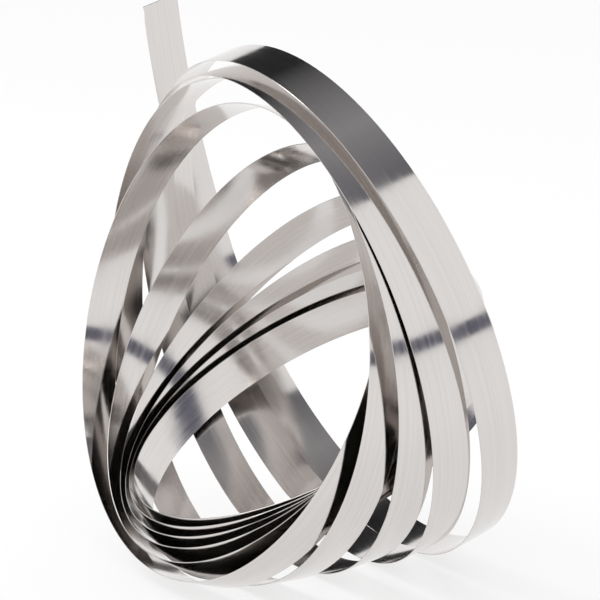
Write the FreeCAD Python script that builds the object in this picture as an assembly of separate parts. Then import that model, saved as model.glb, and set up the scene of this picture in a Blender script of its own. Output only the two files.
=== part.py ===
import FreeCAD, Part
import math
import os

# Nickel strip, one length of thin flat stock that was wound on its roll and let go.
# Its turns have sprung open and fan out from the lower left side, where they still nest.
# X is across the turns, Y along the coil's axis (its open front faces -Y), Z up. Millimetres.

SIZES = {
    "outer_radius": 53.9,     # of the outermost turn, to the middle of the strip
    "laid_out_radius": 53.9,  # the outer radius that the rows of turns are given for
    "strip_width": 8.0,       # across the flat
    "strip_thickness": 0.15,  # through the flat
    "end_turn": 9.6,          # where the inner end stops, in turns from the left of turn 0
    "tail_length": 57.0,      # free end that stands up off the left of turn 0
    "tail_radius": 150.0,     # the slight bend left in it
    "steps_per_turn": 24,     # spans of each edge curve in one turn
}

# One row for each turn, outermost first: how much smaller its radius is than the
# outermost turn's, lean back of its top (degrees), swing about the upright (degrees),
# centre across, centre along, height off the floor. The lengths grow with outer_radius,
# so the turns stay clear of one another.
TURN_COLUMNS = ("inset", "lean", "swing", "across", "along", "lift")
TURNS = (
    (0.0, -19.0, -6.0, 0.0, 18.0, 0.0),
    (3.2, -18.0, -7.0, 0.0, 10.0, 0.0),
    (5.6, -12.0, -6.0, 0.0, 3.0, 0.0),
    (6.2, -1.0, -1.0, 0.0, -3.0, 0.0),
    (9.9, 13.0, 1.0, -1.6, -11.5, 0.0),
    (12.2, 31.0, -3.0, 0.4, -0.5, 2.5),
    (13.5, 43.0, -7.0, 1.0, 4.5, 4.0),
    (14.7, 51.0, -9.0, 1.5, 7.0, 5.3),
    (16.0, 57.0, -10.0, 2.0, 8.0, 6.9),
    (17.1, 61.0, -11.0, 2.5, 8.5, 8.3),
    (18.2, 64.0, -11.0, 3.0, 9.0, 9.6),
)


def make_sheet(doc):
    """The driving dimensions, one named cell each."""
    sheet = doc.addObject("Spreadsheet::Sheet", "Sizes")
    named = dict(SIZES)
    for k, turn in enumerate(TURNS):
        for column, value in zip(TURN_COLUMNS, turn):
            named[f"turn_{k}_{column}"] = value
    for row, (name, value) in enumerate(named.items(), start=1):
        sheet.set(f"A{row}", name)
        sheet.set(f"B{row}", str(value))
        sheet.setAlias(f"B{row}", name)
    doc.recompute()
    return sheet


def turn_figures(sheet, turns):
    """Inset, lean, swing, across, along and lift at this many turns, blended
    between the rows by a cubic B-spline so that one turn flows into the next."""
    row = math.floor(turns)
    part = turns - row
    weights = (
        (1 - part) ** 3 / 6,
        (3 * part ** 3 - 6 * part ** 2 + 4) / 6,
        (-3 * part ** 3 + 3 * part ** 2 + 3 * part + 1) / 6,
        part ** 3 / 6,
    )
    figures = []
    for column in TURN_COLUMNS:
        value = 0.0
        for offset, weight in enumerate(weights):
            value += weight * row_value(sheet, column, row - 1 + offset)
        figures.append(value)
    return figures


def row_value(sheet, column, row):
    """A row's figure, carried straight on past the first and the last row."""
    last = len(TURNS) - 1
    nearest = min(max(row, 0), last)
    inner = min(max(nearest, 1), last - 1)
    value = getattr(sheet, f"turn_{nearest}_{column}")
    if row == nearest:
        return value
    return value + (value - getattr(sheet, f"turn_{inner}_{column}")) * abs(row - nearest)


def centreline(sheet, turns):
    """A point on the strip's centreline and the axis of the turn it lies in."""
    inset, lean, swing, across, along, lift = turn_figures(sheet, turns)
    size = sheet.outer_radius / sheet.laid_out_radius
    radius = sheet.outer_radius - inset * size
    lean = math.radians(lean)
    swing = math.radians(swing)
    angle = math.pi + 2 * math.pi * turns
    sideways = FreeCAD.Vector(math.cos(swing), math.sin(swing), 0)
    backwards = FreeCAD.Vector(-math.sin(swing), math.cos(swing), 0)
    rising = FreeCAD.Vector(0, 0, math.cos(lean)) + backwards * math.sin(lean)
    low_edge = sheet.strip_width / 2 * abs(math.sin(lean))
    rise = lift * size + low_edge + radius * math.cos(lean)
    centre = FreeCAD.Vector(across * size, along * size, rise)
    spot = centre + sideways * radius * math.cos(angle) + rising * radius * math.sin(angle)
    return spot, sideways.cross(rising)


def tail_point(sheet, away):
    """A point on the free end, this far along from the left of turn 0, and its axis."""
    spot, axis = centreline(sheet, 0)
    ahead = centreline(sheet, 0.001)[0] - spot
    ahead.normalize()
    outward = ahead.cross(axis)
    bend = away / sheet.tail_radius
    spot = spot - ahead * sheet.tail_radius * math.sin(bend)
    return spot - outward * sheet.tail_radius * (1 - math.cos(bend)), axis


def strip_point(sheet, turns):
    """The strip's centreline from its free end (turns below 0) to its inner end."""
    if turns >= 0:
        return centreline(sheet, turns)
    return tail_point(sheet, -turns * 2 * math.pi * sheet.outer_radius)


def section_corners(sheet, turns):
    """The strip's four corners at this many turns: outer front, outer back,
    inner back, inner front. Its flat stays square to the bend, as a strip's must."""
    spot, axis = strip_point(sheet, turns)
    ahead = strip_point(sheet, turns + 0.001)[0] - strip_point(sheet, turns - 0.001)[0]
    ahead.normalize()
    width = axis - ahead * axis.dot(ahead)
    width.normalize()
    outward = ahead.cross(width)
    half_width = width * (sheet.strip_width / 2)
    half_thick = outward * (sheet.strip_thickness / 2)
    return (
        spot + half_thick + half_width,
        spot + half_thick - half_width,
        spot - half_thick - half_width,
        spot - half_thick + half_width,
    )


def strip_shape(sheet):
    """The strip as a solid: four long edge curves, the faces ruled between them
    a turn at a time and the two cut ends."""
    start_turn = -sheet.tail_length / (2 * math.pi * sheet.outer_radius)
    length = sheet.end_turn - start_turn
    count = round(length * sheet.steps_per_turn)
    stations = [start_turn + length * i / count for i in range(count + 1)]
    corners = [section_corners(sheet, turns) for turns in stations]
    curves = []
    for corner in range(4):
        curve = Part.BSplineCurve()
        curve.interpolate(Points=[row[corner] for row in corners], Parameters=stations)
        curves.append(curve)
    breaks = stations[:-1:int(sheet.steps_per_turn)] + stations[-1:]
    faces = []
    for begin, end in zip(breaks, breaks[1:]):
        edges = [curve.toShape(begin, end) for curve in curves]
        for edge, beside in zip(edges, edges[1:] + edges[:1]):
            faces.append(Part.makeRuledSurface(edge, beside))
    for end in (corners[0], corners[-1]):
        faces.append(Part.Face(Part.makePolygon([*end, end[0]])))
    shell = Part.Shell(faces)
    shell.sewShape()
    return Part.Solid(shell.Shells[0])


def check(doc):
    """Stop if an object failed or its shape isn't sound."""
    for item in doc.Objects:
        if {"Invalid", "Error"} & set(item.State):
            raise RuntimeError(f"{item.Label} failed")
        if hasattr(item, "Shape") and (item.Shape.isNull() or not item.Shape.isValid()):
            raise RuntimeError(f"{item.Label} isn't a sound shape")


doc = FreeCAD.newDocument("nickel_strip_roll")
sheet = make_sheet(doc)

strip = doc.addObject("Part::Feature", "Strip")
strip.Label = "nickel_strip"
strip.Shape = strip_shape(sheet)
box = strip.Shape.optimalBoundingBox()
strip.Placement.Base = FreeCAD.Vector(-box.Center.x, -box.Center.y, -box.ZMin)

doc.recompute()
check(doc)

os.makedirs("parts", exist_ok=True)
strip.Shape.exportStep(f"parts/{strip.Label}.step")
print(strip.Label, strip.Shape.ShapeType, "volume", round(strip.Shape.Volume, 1), "mm3")
box = strip.Shape.optimalBoundingBox()
print("size", round(box.XLength, 2), round(box.YLength, 2), round(box.ZLength, 2))
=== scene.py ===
# %% [markdown]
# # Nickel strip roll
# One length of thin nickel strip that was wound on its roll and let go. It has sprung
# open, so its turns fan out from the lower left side, and its outer end stands up.
# This lesson loads the measured model first, and then makes the strip again with a
# finish that follows it round every turn.

# %% Load the measured frame
import bpy
import math
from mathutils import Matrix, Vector


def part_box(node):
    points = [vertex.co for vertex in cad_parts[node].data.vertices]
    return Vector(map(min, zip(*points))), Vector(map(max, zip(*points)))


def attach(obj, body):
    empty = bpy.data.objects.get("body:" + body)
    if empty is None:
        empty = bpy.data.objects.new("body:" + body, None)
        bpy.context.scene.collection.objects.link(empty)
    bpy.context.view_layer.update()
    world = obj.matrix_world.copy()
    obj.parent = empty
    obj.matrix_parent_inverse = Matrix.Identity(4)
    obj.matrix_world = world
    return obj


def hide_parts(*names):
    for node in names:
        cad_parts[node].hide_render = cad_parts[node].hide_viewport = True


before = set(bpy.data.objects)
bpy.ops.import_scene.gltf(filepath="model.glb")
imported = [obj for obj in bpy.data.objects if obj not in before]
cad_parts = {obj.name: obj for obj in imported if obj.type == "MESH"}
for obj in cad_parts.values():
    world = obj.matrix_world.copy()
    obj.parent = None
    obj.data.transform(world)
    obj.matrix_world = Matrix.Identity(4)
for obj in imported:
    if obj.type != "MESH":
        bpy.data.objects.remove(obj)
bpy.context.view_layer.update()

# %% [markdown]
# ## The sizes of the strip
# Real strip comes in standard sizes, and this one is 8 mm wide and 0.15 mm thick. How a
# loose coil lies is a matter of a few figures a turn: how large the turn is, how far it
# leans and swings, and where its centre is. A helix would be simpler, but its turns are
# all alike, and these aren't. So each turn has a row, and the turns between are blended.

# %% Sizes and turns
MM = 0.001
OUTER_RADIUS = 53.9
STRIP_WIDTH = 8.0 * MM
STRIP_THICKNESS = 0.15 * MM
EDGE_RADIUS = 0.04 * MM
EDGE_SEGMENTS = 2
SHARP_EDGE = 60
TAIL_LENGTH = 57.0 * MM
TAIL_RADIUS = 150.0 * MM
END_TURN = 9.6
SPANS_PER_TURN = 140
SPANS_ACROSS = 4
SMOOTH_BELOW = 20

# Inset from the outer radius, lean back (degrees), swing (degrees), centre across, centre along, lift.
TURNS = (
    (0.0, -19.0, -6.0, 0.0, 18.0, 0.0),
    (3.2, -18.0, -7.0, 0.0, 10.0, 0.0),
    (5.6, -12.0, -6.0, 0.0, 3.0, 0.0),
    (6.2, -1.0, -1.0, 0.0, -3.0, 0.0),
    (9.9, 13.0, 1.0, -1.6, -11.5, 0.0),
    (12.2, 31.0, -3.0, 0.4, -0.5, 2.5),
    (13.5, 43.0, -7.0, 1.0, 4.5, 4.0),
    (14.7, 51.0, -9.0, 1.5, 7.0, 5.3),
    (16.0, 57.0, -10.0, 2.0, 8.0, 6.9),
    (17.1, 61.0, -11.0, 2.5, 8.5, 8.3),
    (18.2, 64.0, -11.0, 3.0, 9.0, 9.6),
)
START_TURN = -TAIL_LENGTH / (2 * math.pi * OUTER_RADIUS * MM)
print(len(TURNS), "rows of turns,", round(END_TURN - START_TURN, 2), "turns in all")

# %% [markdown]
# ## Where the strip runs
# A flat strip bends easily through its thickness and hardly at all across its width, so
# its flat always faces the middle of its turn. Each turn therefore gives both a point
# on the strip's middle line and the axis that the strip's width lies along.


# %% The middle line
def row_value(column, row):
    """A row's figure, carried straight on past the first and the last row."""
    last = len(TURNS) - 1
    nearest = min(max(row, 0), last)
    inner = min(max(nearest, 1), last - 1)
    value = TURNS[nearest][column]
    return value + (value - TURNS[inner][column]) * abs(row - nearest)


def turn_figures(turns):
    """The six figures at this many turns, blended by a cubic B-spline."""
    row = math.floor(turns)
    part = turns - row
    weights = (
        (1 - part) ** 3 / 6,
        (3 * part ** 3 - 6 * part ** 2 + 4) / 6,
        (-3 * part ** 3 + 3 * part ** 2 + 3 * part + 1) / 6,
        part ** 3 / 6,
    )
    return [sum(weight * row_value(column, row - 1 + step) for step, weight in enumerate(weights))
            for column in range(6)]


def coil_point(turns):
    """A point on the coil's middle line, and the axis of its turn."""
    inset, lean, swing, across, along, lift = turn_figures(turns)
    radius = OUTER_RADIUS - inset
    lean = math.radians(lean)
    swing = math.radians(swing)
    angle = math.pi + 2 * math.pi * turns
    sideways = Vector((math.cos(swing), math.sin(swing), 0))
    backwards = Vector((-math.sin(swing), math.cos(swing), 0))
    rising = Vector((0, 0, math.cos(lean))) + backwards * math.sin(lean)
    low_edge = STRIP_WIDTH / 2 / MM * abs(math.sin(lean))
    centre = Vector((across, along, lift + low_edge + radius * math.cos(lean)))
    spot = centre + (sideways * math.cos(angle) + rising * math.sin(angle)) * radius
    return spot * MM, sideways.cross(rising)


def strip_point(turns):
    """The same for the whole strip: below 0 it is the free end, nearly straight."""
    if turns >= 0:
        return coil_point(turns)
    spot, axis = coil_point(0)
    ahead = (coil_point(0.001)[0] - spot).normalized()
    bend = -turns * 2 * math.pi * OUTER_RADIUS * MM / TAIL_RADIUS
    spot = spot - ahead * TAIL_RADIUS * math.sin(bend)
    return spot - ahead.cross(axis) * TAIL_RADIUS * (1 - math.cos(bend)), axis


def strip_frame(turns):
    """A point on the middle line and the way that the strip's width lies there."""
    spot, axis = strip_point(turns)
    ahead = (strip_point(turns + 0.001)[0] - strip_point(turns - 0.001)[0]).normalized()
    return spot, (axis - ahead * axis.dot(ahead)).normalized()


print("top of the free end", [round(v, 4) for v in strip_point(START_TURN)[0]])

# %% [markdown]
# ## The strip itself
# It could be a curve with a flat profile, but a curve twists its profile where it turns
# over. A long grid keeps its lay: it starts flat, as strip leaves the slitter, and each
# row across it is carried to its place in the coil. The grid brings a UV map that runs
# along and across the strip, which the finish needs later. Solidify gives the thickness,
# and Bevel takes the sharpness off the slit edges. Smoothing stops at 20 degrees, which is
# less than a bevel face turns, or the bevels would bend the reflections on the flats.


# %% Lay the flat strip and wind it
def wound_strip(name):
    """A flat grid as long as the strip, wound along the middle line."""
    bpy.ops.object.select_all(action="DESELECT")
    spans = round((END_TURN - START_TURN) * SPANS_PER_TURN)
    bpy.ops.mesh.primitive_grid_add(x_subdivisions=spans, y_subdivisions=SPANS_ACROSS, size=1)
    strip = bpy.context.object
    strip.name = name
    frames = {}
    for vertex in strip.data.vertices:
        share = round((vertex.co.x + 0.5) * spans) / spans
        if share not in frames:
            frames[share] = strip_frame(START_TURN + (END_TURN - START_TURN) * share)
        spot, width = frames[share]
        vertex.co = spot + width * (vertex.co.y * STRIP_WIDTH)
    return strip


def finish_edges(strip):
    """Give the strip its thickness, ease its edges and smooth its flats."""
    thick = strip.modifiers.new("thickness", "SOLIDIFY")
    thick.thickness = STRIP_THICKNESS
    thick.offset = 0
    bpy.ops.object.modifier_apply(modifier=thick.name)
    ease = strip.modifiers.new("eased edges", "BEVEL")
    ease.width = EDGE_RADIUS
    ease.segments = EDGE_SEGMENTS
    ease.limit_method = "ANGLE"
    ease.angle_limit = math.radians(SHARP_EDGE)
    bpy.ops.object.modifier_apply(modifier=ease.name)
    bpy.ops.object.mode_set(mode="EDIT")
    bpy.ops.mesh.select_all(action="SELECT")
    bpy.ops.mesh.normals_make_consistent(inside=False)
    bpy.ops.object.mode_set(mode="OBJECT")
    bpy.ops.object.shade_smooth_by_angle(angle=math.radians(SMOOTH_BELOW))


strip = wound_strip("wound_nickel_strip")
finish_edges(strip)

# The measured model is centred over its box, so the wound strip is put there too.
box_low, box_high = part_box("nickel_strip")
for axis in range(3):
    values = [vertex.co[axis] for vertex in strip.data.vertices]
    shift = (box_low[axis] + box_high[axis] - min(values) - max(values)) / 2
    for vertex in strip.data.vertices:
        vertex.co[axis] += shift
    print("XYZ"[axis], "shift", round(shift, 5), "spare", round(max(values) - min(values)
          - box_high[axis] + box_low[axis], 6))
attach(strip, "root")
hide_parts("nickel_strip")
print("faces in the strip", len(strip.data.polygons))

# %% [markdown]
# ## The rolled finish
# Nickel strip is bright but not a mirror. Polished rolls leave fine lines along it, the
# metal is a warm grey, and handling leaves faint soft patches. A picture of scratches
# would repeat, so noise does it: stretched hard along the strip, it makes lines, and
# left round, it makes patches. The group gives only values, and the shader stays outside.


# %% A node group for the rolled surface
NICKEL_DARK = (0.665, 0.637, 0.620)
NICKEL_LIGHT = (0.725, 0.698, 0.681)
ROUGH_LOW = 0.07
ROUGH_HIGH = 0.13
PATCH_ROUGH = 0.07
# Features along and across the strip, and how much fine detail each noise has.
FINE_LINES = (160, 130, 3)
BROAD_LINES = (24, 14, 2)
PATCHES = (130, 1.6, 3)
FINE_SHARE = 0.6
BROAD_SHARE = 0.4


def add_node(tree, kind, **sockets):
    """A node with some of its inputs set."""
    node = tree.nodes.new(kind)
    for name, value in sockets.items():
        node.inputs[name].default_value = value
    return node


def ramp_between(tree, source, low, high, to_low, to_high):
    """Map a value from one range to another, held at the ends."""
    node = add_node(tree, "ShaderNodeMapRange")
    node.inputs["From Min"].default_value = low
    node.inputs["From Max"].default_value = high
    node.inputs["To Min"].default_value = to_low
    node.inputs["To Max"].default_value = to_high
    tree.links.new(source, node.inputs["Value"])
    return node.outputs["Result"]


def stretched_noise(tree, coordinates, lengthwise, crosswise, detail):
    """Noise with this many features along and across the strip."""
    mapping = tree.nodes.new("ShaderNodeMapping")
    mapping.inputs["Scale"].default_value = (lengthwise, crosswise, 1)
    tree.links.new(coordinates, mapping.inputs["Vector"])
    noise = add_node(tree, "ShaderNodeTexNoise", Scale=1.0, Detail=detail, Roughness=0.6)
    tree.links.new(mapping.outputs["Vector"], noise.inputs["Vector"])
    return noise.outputs["Fac"]


def rolled_surface_group():
    """Colour, roughness and height of rolled strip, from its own UV map."""
    tree = bpy.data.node_groups.new("rolled surface", "ShaderNodeTree")
    for name, kind in (("Color", "NodeSocketColor"), ("Roughness", "NodeSocketFloat"),
                       ("Height", "NodeSocketFloat")):
        tree.interface.new_socket(name=name, in_out="OUTPUT", socket_type=kind)
    out = tree.nodes.new("NodeGroupOutput")
    uv = tree.nodes.new("ShaderNodeUVMap")
    fine = stretched_noise(tree, uv.outputs["UV"], *FINE_LINES)
    broad = stretched_noise(tree, uv.outputs["UV"], *BROAD_LINES)
    patches = stretched_noise(tree, uv.outputs["UV"], *PATCHES)
    lines = add_node(tree, "ShaderNodeMath")
    lines.operation = "MULTIPLY_ADD"
    lines.inputs[1].default_value = FINE_SHARE
    tree.links.new(fine, lines.inputs[0])
    tree.links.new(ramp_between(tree, broad, 0.3, 0.7, 0.0, BROAD_SHARE), lines.inputs[2])
    rough = add_node(tree, "ShaderNodeMath")
    rough.operation = "ADD"
    tree.links.new(ramp_between(tree, lines.outputs[0], 0.2, 0.8, ROUGH_LOW, ROUGH_HIGH), rough.inputs[0])
    tree.links.new(ramp_between(tree, patches, 0.45, 0.75, 0.0, PATCH_ROUGH), rough.inputs[1])
    tree.links.new(rough.outputs[0], out.inputs["Roughness"])
    tint = tree.nodes.new("ShaderNodeValToRGB")
    tint.color_ramp.elements[0].position = 0.25
    tint.color_ramp.elements[0].color = (*NICKEL_DARK, 1)
    tint.color_ramp.elements[1].position = 0.75
    tint.color_ramp.elements[1].color = (*NICKEL_LIGHT, 1)
    tree.links.new(lines.outputs[0], tint.inputs["Fac"])
    tree.links.new(tint.outputs["Color"], out.inputs["Color"])
    tree.links.new(lines.outputs[0], out.inputs["Height"])
    return tree


surface = rolled_surface_group()
print("group sockets", [item.name for item in surface.interface.items_tree])

# %% [markdown]
# ## The nickel
# Nickel is a metal, so its colour is in its reflections and Metallic is 1. The group
# feeds colour and roughness, and its lines also raise the surface by a hair through a
# Bump node. A coat isn't needed, since bare strip has none.

# %% The nickel material
LINE_STRENGTH = 0.03
LINE_HEIGHT = 0.02 * MM


def nickel_material():
    """Bright rolled nickel, on the strip's own UV map."""
    material = bpy.data.materials.new("bright_nickel")
    material.use_nodes = True
    tree = material.node_tree
    shader = tree.nodes["Principled BSDF"]
    shader.inputs["Metallic"].default_value = 1.0
    rolled = tree.nodes.new("ShaderNodeGroup")
    rolled.node_tree = surface
    bump = add_node(tree, "ShaderNodeBump", Strength=LINE_STRENGTH, Distance=LINE_HEIGHT)
    tree.links.new(rolled.outputs["Color"], shader.inputs["Base Color"])
    tree.links.new(rolled.outputs["Roughness"], shader.inputs["Roughness"])
    tree.links.new(rolled.outputs["Height"], bump.inputs["Height"])
    tree.links.new(bump.outputs["Normal"], shader.inputs["Normal"])
    return material


strip.data.materials.clear()
strip.data.materials.append(nickel_material())
print("finish", strip.data.materials[0].name)

# %% [markdown]
# ## The studio
# Bright metal shows whatever stands round it, so the room matters more than the lamps.
# A white room alone would leave it flat. As in a real studio, dark cards are hung where
# the metal will reflect them: one overhead for the black and grey on the top turns, and
# a thin one low down for the short dark bars. The camera doesn't see the cards.


# %% Floor, cards and light
FLOOR_WHITENESS = 0.7
ROOM_LIGHT = 0.95
FLOOR_SIZE = (6, 6)
OVERHEAD_SIZE = (1.52, 1.40)
OVERHEAD_PLACE = (-0.39, 0.50, 0.60)
LOW_BAR_SIZE = (0.90, 0.060)
LOW_BAR_PLACE = (0.50, 0.355, 0.035)
LOW_BAR_TURN = (math.radians(90), 0, math.radians(-54.6))
LAMP_PLACE = (-0.45, -0.35, 0.75)
LAMP_SIZE = 0.45
LAMP_WATTS = 2.5


def plain_material(name, colour, roughness):
    """A plain matt material for the studio."""
    material = bpy.data.materials.new(name)
    material.use_nodes = True
    shader = material.node_tree.nodes["Principled BSDF"]
    shader.inputs["Base Color"].default_value = (*colour, 1)
    shader.inputs["Roughness"].default_value = roughness
    return material


def studio_card(name, size, place, turn, material, seen=False):
    """A flat card of this size, for the stage only."""
    bpy.ops.mesh.primitive_plane_add(size=1, location=place, rotation=turn)
    card = bpy.context.object
    card.name = name
    card.scale = (size[0], size[1], 1)
    card.data.materials.append(material)
    card.visible_camera = seen
    card.visible_shadow = seen
    card.visible_diffuse = seen
    return card


def white_floor_material():
    """A pale matt floor that the camera sees as white, with a light shadow left on it."""
    material = plain_material("pale_floor", (0.93, 0.93, 0.93), 0.7)
    tree = material.node_tree
    glow = add_node(tree, "ShaderNodeEmission", Strength=1.0)
    path = tree.nodes.new("ShaderNodeLightPath")
    seen = add_node(tree, "ShaderNodeMath")
    seen.operation = "MAXIMUM"
    tree.links.new(path.outputs["Is Camera Ray"], seen.inputs[0])
    tree.links.new(path.outputs["Is Glossy Ray"], seen.inputs[1])
    mix = tree.nodes.new("ShaderNodeMixShader")
    tree.links.new(ramp_between(tree, seen.outputs[0], 0, 1, 0.0, FLOOR_WHITENESS), mix.inputs["Fac"])
    tree.links.new(tree.nodes["Principled BSDF"].outputs["BSDF"], mix.inputs[1])
    tree.links.new(glow.outputs["Emission"], mix.inputs[2])
    tree.links.new(mix.outputs["Shader"], tree.nodes["Material Output"].inputs["Surface"])
    return material


def graded_card_material():
    """A card that goes from black to mid grey and a little darker again along its length."""
    material = plain_material("graded_card", (0.0, 0.0, 0.0), 0.9)
    tree = material.node_tree
    split = tree.nodes.new("ShaderNodeSeparateXYZ")
    tree.links.new(tree.nodes.new("ShaderNodeUVMap").outputs["UV"], split.inputs["Vector"])
    ramp = tree.nodes.new("ShaderNodeValToRGB")
    ramp.color_ramp.elements[0].position = 0.50
    ramp.color_ramp.elements[0].color = (0.010, 0.010, 0.012, 1)
    ramp.color_ramp.elements[1].position = 1.0
    ramp.color_ramp.elements[1].color = (0.13, 0.13, 0.15, 1)
    ramp.color_ramp.elements.new(0.80).color = (0.30, 0.30, 0.31, 1)
    tree.links.new(split.outputs["X"], ramp.inputs["Fac"])
    tree.links.new(ramp.outputs["Color"], tree.nodes["Principled BSDF"].inputs["Base Color"])
    return material


slate_card = plain_material("slate_card", (0.10, 0.10, 0.14), 0.9)
studio_card("floor", FLOOR_SIZE, (0, 0, 0), (0, 0, 0), white_floor_material(), seen=True)
studio_card("overhead", OVERHEAD_SIZE, OVERHEAD_PLACE, (0, 0, 0), graded_card_material())
studio_card("low_bar", LOW_BAR_SIZE, LOW_BAR_PLACE, LOW_BAR_TURN, slate_card)


def studio_world():
    """White to the camera and in reflections, a little less as light."""
    world = bpy.data.worlds.new("studio")
    bpy.context.scene.world = world
    world.use_nodes = True
    tree = world.node_tree
    background = tree.nodes["Background"]
    background.inputs["Color"].default_value = (1, 1, 1, 1)
    path = tree.nodes.new("ShaderNodeLightPath")
    seen = add_node(tree, "ShaderNodeMath")
    seen.operation = "MAXIMUM"
    shown = add_node(tree, "ShaderNodeMath")
    shown.operation = "MAXIMUM"
    tree.links.new(path.outputs["Is Camera Ray"], seen.inputs[0])
    tree.links.new(path.outputs["Is Glossy Ray"], seen.inputs[1])
    tree.links.new(seen.outputs[0], shown.inputs[0])
    tree.links.new(path.outputs["Is Transmission Ray"], shown.inputs[1])
    strength = ramp_between(tree, shown.outputs[0], 0, 1, ROOM_LIGHT, 1.0)
    tree.links.new(strength, background.inputs["Strength"])


studio_world()
bpy.ops.object.light_add(type="AREA", location=LAMP_PLACE)
lamp = bpy.context.object
lamp.data.size = LAMP_SIZE
lamp.data.energy = LAMP_WATTS
lamp.rotation_euler = (Vector((0, 0, 0.04)) - lamp.location).to_track_quat("-Z", "Y").to_euler()
print("room light", ROOM_LIGHT, "lamp", lamp.data.energy, "W")

# %% [markdown]
# ## The camera
# It stands a little above the coil and looks across its open front, so that the insides
# of the turns show on the left and their outsides on the right.

# %% Camera
VIEW_AZIMUTH = math.radians(54)
VIEW_HEIGHT = math.radians(12)
VIEW_DISTANCE = 0.480
LENS = 152.6
look_at = Vector((0.0030, -0.0026, 0.0526))
back = Vector((math.sin(VIEW_AZIMUTH) * math.cos(VIEW_HEIGHT),
               -math.cos(VIEW_AZIMUTH) * math.cos(VIEW_HEIGHT),
               math.sin(VIEW_HEIGHT)))
bpy.ops.object.camera_add(location=look_at + back * VIEW_DISTANCE)
camera = bpy.context.object
camera.rotation_euler = back.to_track_quat("Z", "Y").to_euler()
camera.data.lens = LENS
camera.data.clip_start = 0.01
bpy.context.scene.camera = camera
bpy.context.scene.view_settings.view_transform = "Standard"
print("camera at", [round(v, 3) for v in camera.location])
